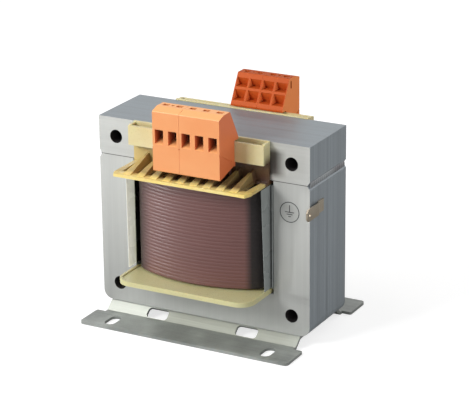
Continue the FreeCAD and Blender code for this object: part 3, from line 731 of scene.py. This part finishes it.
@dataclass(frozen=True)
class MilkyFilm(Finish):
    """A smooth milky film, with painted shade where it stands inside the window."""

    colour: Colour = (0.90, 0.91, 0.80, 1.0)
    cloud: Colour = (0.87, 0.88, 0.77, 1.0)
    painted_shade_colour: Colour = (0.002, 0.0015, 0.0015, 1.0)
    glow: float = 1.0
    bleed: tuple[float, float, float] = (1.0 * MM, 1.0 * MM, 0.9 * MM)
    light_from: float = CORE.half_stack + 0.2 * MM
    light_fade: float = 0.8 * MM

    def paint(self, nodes: Surface) -> None:
        """Adds the finish's own nodes.

        Args:
            nodes: the material's nodes.
        """
        mottle = nodes.mottle(900.0)
        colour = nodes.blend(nodes.vary(mottle["Slow"], 0.0, 1.0), self.colour, self.cloud)
        along = nodes.math("ABSOLUTE", nodes.position()[1])
        # Painted shade on the part inside the window.
        inside = nodes.spread(along, self.light_from, self.light_from + self.light_fade, 0.98, 0.0)
        colour = nodes.blend(inside, colour, self.painted_shade_colour)
        nodes.cover(colour, nodes.vary(mottle["Slow"], 0.24, 0.32), mottle["Fine"],
                    strength=0.03, depth=0.1 * MM)
        nodes.settle({"Subsurface Weight": self.glow, "Subsurface Radius": self.bleed,
                      "Subsurface Scale": 1.0, "IOR": 1.45})


@dataclass(frozen=True)
class PlainMetal(Finish):
    """A small metal part with fine rolling marks and a dulled tint in places."""

    colour: Colour = (0.62, 0.60, 0.56, 1.0)
    dull: Colour = (0.42, 0.40, 0.37, 1.0)
    roughness: float = 0.35
    metallic: float = 0.9

    def paint(self, nodes: Surface) -> None:
        """Adds the finish's own nodes.

        Args:
            nodes: the material's nodes.
        """
        grain = nodes.grain(2200.0, 90.0, 2200.0)
        mottle = nodes.mottle(2400.0)
        colour = nodes.blend(nodes.vary(mottle["Slow"], 0.0, 0.9, swing=0.3), self.colour, self.dull)
        rough = nodes.vary(grain, self.roughness - 0.08, self.roughness + 0.1)
        nodes.cover(colour, rough, grain, strength=0.08, depth=0.1 * MM)
        nodes.settle({"Metallic": self.metallic})


@dataclass(frozen=True)
class PaleFloor(Finish):
    """A pale floor that the camera sees as white, and that still takes a shadow."""

    colour: Colour = (0.45, 0.45, 0.45, 1.0)
    glow: float = 0.72

    def paint(self, nodes: Surface) -> None:
        """Adds the finish's own nodes.

        Args:
            nodes: the material's nodes.
        """
        nodes.settle({"Base Color": self.colour, "Roughness": 0.9, "Specular IOR Level": 0.1,
                      "Emission Color": (1.0, 1.0, 1.0, 1.0),
                      "Emission Strength": nodes.product(nodes.seen(), self.glow)})


def keep_piece(name: str, mesh: bpy.types.Mesh, material: bpy.types.Material) -> bpy.types.Object:
    """Puts a mesh into the scene as a piece of the object.

    Args:
        name: the piece's name.
        mesh: its mesh, in place in the row frame.
        material: its finish.

    Returns:
        The new object.
    """
    piece = bpy.data.objects.new(name, mesh)
    bpy.context.scene.collection.objects.link(piece)
    mesh.materials.clear()
    mesh.materials.append(material)
    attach(piece, "root")
    log.info("built %s with %s faces", name, len(mesh.polygons))
    return piece


def thicken(shape: bmesh.types.BMesh, faces: list[bmesh.types.BMFace], way: Vector) -> None:
    """Gives flat faces a thickness.

    Args:
        shape: the mesh that holds them.
        faces: the faces.
        way: how far and where their copy moves.
    """
    grown = bmesh.ops.extrude_face_region(shape, geom=faces)
    moved = [item for item in grown["geom"] if isinstance(item, bmesh.types.BMVert)]
    bmesh.ops.translate(shape, vec=way, verts=moved)


def as_mesh(name: str, shape: bmesh.types.BMesh) -> bpy.types.Mesh:
    """Turns a worked shape into a mesh and frees the shape.

    Args:
        name: the mesh's name.
        shape: the shape.

    Returns:
        The mesh.
    """
    mesh = bpy.data.meshes.new(name)
    shape.to_mesh(mesh)
    shape.free()
    return mesh


@dataclass
class Coil:
    """The outer winding as one wire laid in turns, which stands for the plain solid."""

    half_width: float = 37.8 * MM
    reach: float = 13.0 * MM
    corner: float = 12.0 * MM
    bow: float = 75.0 * MM
    turns: int = 29
    end_play: float = 0.04
    fill: float = 0.998
    scallop: float = 0.045
    bow_steps: int = 8
    corner_steps: int = 8
    section_steps: int = 10
    crease: float = math.radians(30.0)

    def loop(self, wire: float) -> list[Vector]:
        """Points of one turn's middle line, seen from above.

        Args:
            wire: half the wire's height.

        Returns:
            The points in order round the coil, from the middle of the back.
        """
        corner = self.corner - wire
        bow = self.bow - wire
        corner_x = self.half_width - wire - corner
        bow_y = self.bow - CORE.half_stack - self.reach
        corner_y = bow_y - math.sqrt((bow - corner) ** 2 - corner_x ** 2)
        join = math.atan2(corner_y - bow_y, corner_x)
        quarter = []
        for step in range(self.bow_steps + 1):
            angle = -math.pi / 2 + (join + math.pi / 2) * step / self.bow_steps
            quarter.append(Vector((bow * math.cos(angle), bow_y + bow * math.sin(angle))))
        for step in range(1, self.corner_steps + 1):
            angle = join * (1 - step / self.corner_steps)
            quarter.append(Vector((corner_x + corner * math.cos(angle), corner_y + corner * math.sin(angle))))
        right = quarter + [Vector((point.x, -point.y)) for point in reversed(quarter)]
        left = [Vector((-point.x, point.y)) for point in reversed(right[1:-1])]
        points = right + left
        return points[len(points) // 2:] + points[:len(points) // 2]

    @staticmethod
    def curve(name: str, points: list[tuple[float, float, float]], closed: bool) -> bpy.types.Object:
        """Draws a curve of straight steps.

        Args:
            name: the curve's name.
            points: its points.
            closed: whether the last point joins the first.

        Returns:
            The curve, in the scene.
        """
        data = bpy.data.curves.new(name, "CURVE")
        data.dimensions = "2D" if closed else "3D"
        spline = data.splines.new("POLY")
        spline.points.add(len(points) - 1)
        spline.use_cyclic_u = closed
        for index, point in enumerate(points):
            spline.points[index].co = (*point, 1.0)
        drawn = bpy.data.objects.new(name, data)
        bpy.context.scene.collection.objects.link(drawn)
        return drawn

    def section(self, wire: float) -> bpy.types.Object:
        """The wire's section as the varnish leaves it: flat against its neighbours, bowed outside.

        Args:
            wire: half the wire's height.

        Returns:
            A closed curve that the wire is drawn from.
        """
        outer = []
        for step in range(self.section_steps + 1):
            up = 2 * step / self.section_steps - 1
            outer.append((wire * (1 - self.scallop * up * up), wire * up, 0.0))
        inner = [(-across, -up, 0.0) for across, up, _ in outer]
        return self.curve("wire_section", outer + inner, closed=True)

    def build(self, finish: bpy.types.Material) -> bpy.types.Object:
        """Winds the wire from the lower flange to the upper one.

        Args:
            finish: the wire's material.

        Returns:
            The coil, in place of the plain solid.
        """
        low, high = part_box("secondary_winding")
        pitch = (high[2] - low[2]) / (self.turns + self.end_play)
        wire = pitch / 2 * self.fill
        loop = self.loop(wire)
        start = low[2] + pitch / 2
        rise = high[2] - low[2] - pitch
        last = self.turns * len(loop) - 1
        points = [(*loop[step % len(loop)], start + rise * step / last) for step in range(last + 1)]
        section = self.section(wire)
        path = self.curve("coil_path", points, closed=False)
        path.data.twist_mode = "Z_UP"
        path.data.bevel_mode = "OBJECT"
        path.data.bevel_object = section
        path.data.use_fill_caps = True
        wound = path.evaluated_get(bpy.context.evaluated_depsgraph_get())
        mesh = bpy.data.meshes.new_from_object(wound)
        bpy.data.objects.remove(path)
        bpy.data.objects.remove(section)
        mesh.shade_smooth()
        mesh.set_sharp_from_angle(angle=self.crease)
        piece = keep_piece("wire_coil", mesh, finish)
        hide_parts("secondary_winding")
        return piece


@dataclass
class SideFilm:
    """The folded film between the coil and one outer leg: a long leaf and a short outer fold."""

    name: str
    node: str
    side: float
    leaf: float
    reach_top: float
    reach_bottom: float
    fold: float
    fold_reach: float
    thickness: float = 0.3 * MM
    low: float = CORE.bottom + CORE.yoke + 3.1 * MM
    high: float = CORE.joint - 2.3 * MM
    bow: float = 0.15 * MM
    edge: float = 0.1 * MM
    rim_angle: float = 1.0
    cells: int = 12

    def sheet(self, shape: bmesh.types.BMesh, x: float, reach_top: float, reach_bottom: float) -> None:
        """Adds one upright layer that runs through the window and stands out at both ends.

        Args:
            shape: the mesh that the layer goes into.
            x: distance of its inner face from the middle.
            reach_top: how far it stands out of the core at the top.
            reach_bottom: how far it stands out at the bottom.
        """
        made = bmesh.ops.create_grid(shape, x_segments=self.cells, y_segments=self.cells, size=0.5,
                                     matrix=Matrix.Rotation(math.pi / 2, 4, "Y"))["verts"]
        for vert in made:
            up = vert.co.z + 0.5
            along = vert.co.y * 2
            reach = reach_bottom + (reach_top - reach_bottom) * up
            swell = self.bow * (1 - along * along)
            vert.co = Vector((self.side * (x - swell), along * (CORE.half_stack + reach),
                              self.low + (self.high - self.low) * up))
        faces = list(dict.fromkeys(face for vert in made for face in vert.link_faces))
        thicken(shape, faces, Vector((self.side * self.thickness, 0.0, 0.0)))

    def build(self, finish: bpy.types.Material) -> bpy.types.Object:
        """Builds the film in place of the plain solid.

        Args:
            finish: the film's material.

        Returns:
            The film.
        """
        shape = bmesh.new()
        self.sheet(shape, self.leaf, self.reach_top, self.reach_bottom)
        self.sheet(shape, self.fold, self.fold_reach, self.fold_reach)
        bmesh.ops.recalc_face_normals(shape, faces=shape.faces)
        rims = [edge for edge in shape.edges if edge.calc_face_angle(0.0) > self.rim_angle]
        bmesh.ops.bevel(shape, geom=rims, offset=self.edge, offset_type="OFFSET", affect="EDGES", segments=1,
                        profile=0.5, material=-1)
        piece = keep_piece(self.name, as_mesh(self.name, shape), finish)
        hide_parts(self.node)
        return piece


@dataclass
class EarthSign:
    """The earth sign printed on the right leg: a ring, a stem and three bars."""

    x: float = 48.9 * MM
    z: float = 70.7 * MM
    ring: float = 5.4 * MM
    line: float = 0.42 * MM
    stem: float = 3.7 * MM
    bar_lengths: tuple[float, ...] = (4.94 * MM, 3.23 * MM, 1.52 * MM)
    bar_pitch: float = 1.125 * MM
    thickness: float = 0.05 * MM
    steps: int = 64

    def build(self, finish: bpy.types.Material) -> bpy.types.Object:
        """Builds the sign flat on the core's front.

        Args:
            finish: the ink's material.

        Returns:
            The sign.
        """
        sign = bmesh.new()
        for radius in (self.ring, self.ring - self.line):
            bmesh.ops.create_circle(sign, cap_ends=False, segments=self.steps, radius=radius)
        bmesh.ops.bridge_loops(sign, edges=list(sign.edges))
        strokes = [(self.stem / 2, self.line, self.stem)]
        for number, length in enumerate(self.bar_lengths):
            strokes.append((-number * self.bar_pitch, length, self.line))
        for height, width, depth in strokes:
            place = Matrix.Translation((0.0, height, 0.0)) @ Matrix.Diagonal((width, depth, 1.0, 1.0))
            bmesh.ops.create_grid(sign, x_segments=1, y_segments=1, size=0.5, matrix=place)
        turn = Matrix.Rotation(math.pi / 2, 4, "X")
        upright = Matrix.Translation((self.x, -CORE.half_stack, self.z)) @ turn
        bmesh.ops.transform(sign, matrix=upright, verts=sign.verts)
        thicken(sign, list(sign.faces), Vector((0.0, -self.thickness, 0.0)))
        bmesh.ops.recalc_face_normals(sign, faces=sign.faces)
        return keep_piece("earth_sign", as_mesh("earth_sign", sign), finish)


# A finish and the CAD nodes that wear it.
Wear = tuple[Finish, tuple[str, ...]]


@dataclass
class Dressing:
    """Every finish, and the CAD nodes that wear it."""

    effects: Effects = field(default_factory=Effects)

    @staticmethod
    def steel() -> list[Wear]:
        """Lists the core, its welds and the feet.

        Returns:
            Their finishes, each with the nodes that wear it.
        """
        return [
            (StackedSteel("e_stampings"), ("core_e_stack",)),
            (StackedSteel("i_stampings", along=Axis.X), ("core_i_stack",)),
            (RippledWeld("core_weld"), ("weld_bead_right", "weld_bead_left")),
            (RippledWeld("foot_weld", along=Axis.X), ("foot_welds_front", "foot_welds_back")),
            (CoatedSteel("foot_zinc"), ("foot_bracket_front", "foot_bracket_back")),
        ]

    @staticmethod
    def plastic() -> list[Wear]:
        """Lists the bobbin and the terminal housings.

        Returns:
            Their finishes, each with the nodes that wear it.
        """
        # Painted shade deep inside the wire entries.
        entry_shade_colour = (0.07, 0.012, 0.006, 1.0)
        return [
            (BobbinNylon("cream_nylon"), ("bobbin",)),
            # Front housings: painted shade on the side faces and painted light on the top.
            (MouldedPlastic("orange_polyamide", entry_shade_colour=entry_shade_colour, side_light_and_shade=(0.76, 0.19, 0.065, 1.0),
                            painted_top_light=(0.97, 0.45, 0.17, 1.0)),
             ("front_terminal_two_pole", "front_terminal_three_pole")),
            # Back housings: the same plastic as the front ones in a darker painted-shade copy, with painted
            # light on the side faces.
            (MouldedPlastic("shaded_orange_polyamide", entry_shade_colour=entry_shade_colour, side_light_and_shade=(0.88, 0.27, 0.08, 1.0),
                            colour=(0.48, 0.086, 0.014, 1.0), deep=(0.40, 0.062, 0.010, 1.0),
                            roughness=0.5, gloss=0.12),
             ("back_terminal_left", "back_terminal_right")),
        ]

    @staticmethod
    def winding() -> list[Wear]:
        """Lists the wire and the films.

        Returns:
            Their finishes, each with the nodes that wear it.
        """
        return [
            (EnamelledWire("enamelled_wire"),
             ("primary_winding", "secondary_winding", "front_winding_leads", "back_winding_leads")),
            (MouldedPlastic("wrap_film", colour=(0.70, 0.60, 0.28, 1.0), deep=(0.60, 0.48, 0.2, 1.0),
                            roughness=0.25), ("interlayer_wrap",)),
            (MilkyFilm("liner_film_left"), ("side_liner_left",)),
            # The right film is the same milky film in a dark painted-shade copy.
            (MilkyFilm("shaded_liner_film_right", colour=(0.27, 0.29, 0.285, 1.0), cloud=(0.25, 0.27, 0.265, 1.0),
                       light_from=CORE.half_stack - 1.0 * MM, glow=0.0), ("side_liner_right",)),
        ]

    @staticmethod
    def small_parts() -> list[Wear]:
        """Lists the bars, the springs, the earth blade and the printed sign.

        Returns:
            Their finishes, each with the nodes that wear it.
        """
        return [
            (PlainMetal("tinned_copper"), ("front_current_bars", "back_current_bars")),
            (PlainMetal("spring_steel", colour=(0.55, 0.55, 0.56, 1.0), roughness=0.28),
             ("front_clamp_springs", "back_clamp_springs")),
            (PlainMetal("brass_blade", colour=(0.50, 0.43, 0.33, 1.0), dull=(0.32, 0.27, 0.20, 1.0),
                        metallic=0.6), ("earth_tab",)),
            (MouldedPlastic("sign_ink", colour=(0.045, 0.047, 0.05, 1.0), deep=(0.08, 0.082, 0.085, 1.0),
                            roughness=0.6), ()),
        ]

    @staticmethod
    def dress(node: str, material: bpy.types.Material) -> None:
        """Gives a CAD node its finish.

        Args:
            node: the node's name.
            material: its finish.
        """
        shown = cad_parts[node]
        if not shown.data.materials:
            shown.data.materials.append(material)
        for slot in shown.material_slots:
            slot.material = material
        log.info("dressed %s", node)

    def build(self) -> dict[str, bpy.types.Material]:
        """Dresses every CAD node.

        Returns:
            The materials by name, for the new pieces.
        """
        made = {}
        for finish, nodes in self.steel() + self.plastic() + self.winding() + self.small_parts():
            made[finish.name] = finish.build(self.effects)
            for node in nodes:
                self.dress(node, made[finish.name])
        return made


@dataclass(frozen=True)
class Lamp:
    """One soft square lamp that faces the object."""

    name: str
    place: tuple[float, float, float]
    side: float
    power: float
    glossy: bool = True
    aim: tuple[float, float, float] = (0.0, 0.0, 0.055)

    def build(self) -> None:
        """Stands the lamp in the scene."""
        data = bpy.data.lights.new(self.name, "AREA")
        data.shape = "SQUARE"
        data.size = self.side
        data.energy = self.power
        light = bpy.data.objects.new(self.name, data)
        light.location = self.place
        light.rotation_euler = (Vector(self.place) - Vector(self.aim)).to_track_quat("Z", "Y").to_euler()
        light.visible_glossy = self.glossy
        bpy.context.scene.collection.objects.link(light)


@dataclass
class Studio:
    """Camera, lamps, floor and background."""

    azimuth: float = math.radians(28.428)
    elevation: float = math.radians(19.657)
    roll: float = math.radians(-0.576)
    distance: float = 1066.06 * MM
    aside: float = 6.39 * MM
    above: float = 4.3 * MM
    focal_pixels: float = 2079.1
    frame_width: int = 469
    sensor: float = 36.0
    near: float = 0.01
    far: float = 20.0
    target: Vector = field(default_factory=lambda: Vector((0.0, -0.5 * MM, CORE.middle)))
    wall_low: float = 0.35
    wall_high: float = 0.8
    wall_dim: float = 0.55
    fill: float = 0.46
    floor_size: float = 6.0
    floor_gap: float = 0.2 * MM
    lamps: tuple[Lamp, ...] = (
        Lamp("front", (-0.68, -1.2, 0.84), 0.5, 18.0),
        Lamp("left", (-1.17, -0.78, 0.10), 0.12, 6.5),
        Lamp("right", (1.3, -0.45, 0.5), 0.8, 4.3),
        Lamp("top", (-0.55, -0.22, 1.1), 0.5, 2.8),
        Lamp("back", (0.4, 1.35, 0.5), 0.8, 7.0, glossy=False),
    )

    def camera(self) -> None:
        """Places the camera where the photograph was taken from."""
        back = Vector((math.sin(self.azimuth) * math.cos(self.elevation),
                       -math.cos(self.azimuth) * math.cos(self.elevation), math.sin(self.elevation)))
        right = Vector((math.cos(self.azimuth), math.sin(self.azimuth), 0.0))
        up = back.cross(right)
        turned_right = math.cos(self.roll) * right + math.sin(self.roll) * up
        turned_up = -math.sin(self.roll) * right + math.cos(self.roll) * up
        eye = self.target + self.aside * turned_right + self.above * turned_up + self.distance * back
        data = bpy.data.cameras.new("camera")
        data.sensor_fit = "HORIZONTAL"
        data.sensor_width = self.sensor
        data.lens = self.focal_pixels / self.frame_width * self.sensor
        data.clip_start = self.near
        data.clip_end = self.far
        camera = bpy.data.objects.new("camera", data)
        turn = Matrix((turned_right, turned_up, back)).transposed()
        camera.matrix_world = Matrix.Translation(eye) @ turn.to_4x4()
        bpy.context.scene.collection.objects.link(camera)
        bpy.context.scene.camera = camera

    def background(self) -> None:
        """White background, and an even, weaker light from all round."""
        world = bpy.data.worlds.new("studio")
        world.use_nodes = True
        world.node_tree.nodes.clear()
        nodes = Nodes(world.node_tree)
        glossy = nodes.add("LightPath").outputs["Is Glossy Ray"]
        seen = nodes.math("MAXIMUM", nodes.seen(), glossy)
        rise = nodes.parts(nodes.add("TexCoord").outputs["Generated"])[2]
        wall = nodes.spread(rise, self.wall_low, self.wall_high, 1.0, self.wall_dim)
        strength = nodes.product(wall, nodes.spread(seen, 0.0, 1.0, self.fill, 1.0))
        light = nodes.add("Background", {"Color": (1.0, 1.0, 1.0, 1.0), "Strength": strength})
        nodes.add("OutputWorld", {0: light.outputs[0]})
        bpy.context.scene.world = world

    def floor(self) -> None:
        """Plain pale floor that takes the object's soft shadow."""
        plan = bmesh.new()
        bmesh.ops.create_grid(plan, x_segments=1, y_segments=1, size=self.floor_size)
        mesh = as_mesh("floor", plan)
        mesh.materials.append(PaleFloor("pale_floor").build())
        floor = bpy.data.objects.new("floor", mesh)
        floor.location.z = -self.floor_gap
        bpy.context.scene.collection.objects.link(floor)

    def build(self) -> None:
        """Builds the whole studio."""
        self.camera()
        for lamp in self.lamps:
            lamp.build()
        self.background()
        self.floor()
        bpy.context.scene.view_settings.view_transform = "Standard"
        log.info("studio ready")


def main() -> None:
    """Dresses the frame, adds the new pieces and sets up the studio."""
    logging.basicConfig(level=logging.INFO, format="%(name)s: %(message)s")
    finishes = Dressing().build()
    Coil().build(finishes["enamelled_wire"])
    SideFilm("side_film_left", "side_liner_left", side=-1.0, leaf=39.5 * MM, reach_top=8.6 * MM,
             reach_bottom=8.0 * MM, fold=39.82 * MM, fold_reach=-0.4 * MM).build(finishes["liner_film_left"])
    SideFilm("side_film_right", "side_liner_right", side=1.0, leaf=38.3 * MM, reach_top=10.2 * MM,
             reach_bottom=7.0 * MM, fold=39.4 * MM, fold_reach=1.0 * MM).build(finishes["shaded_liner_film_right"])
    EarthSign().build(finishes["sign_ink"])
    Studio().build()


if __name__ == "__main__":
    main()
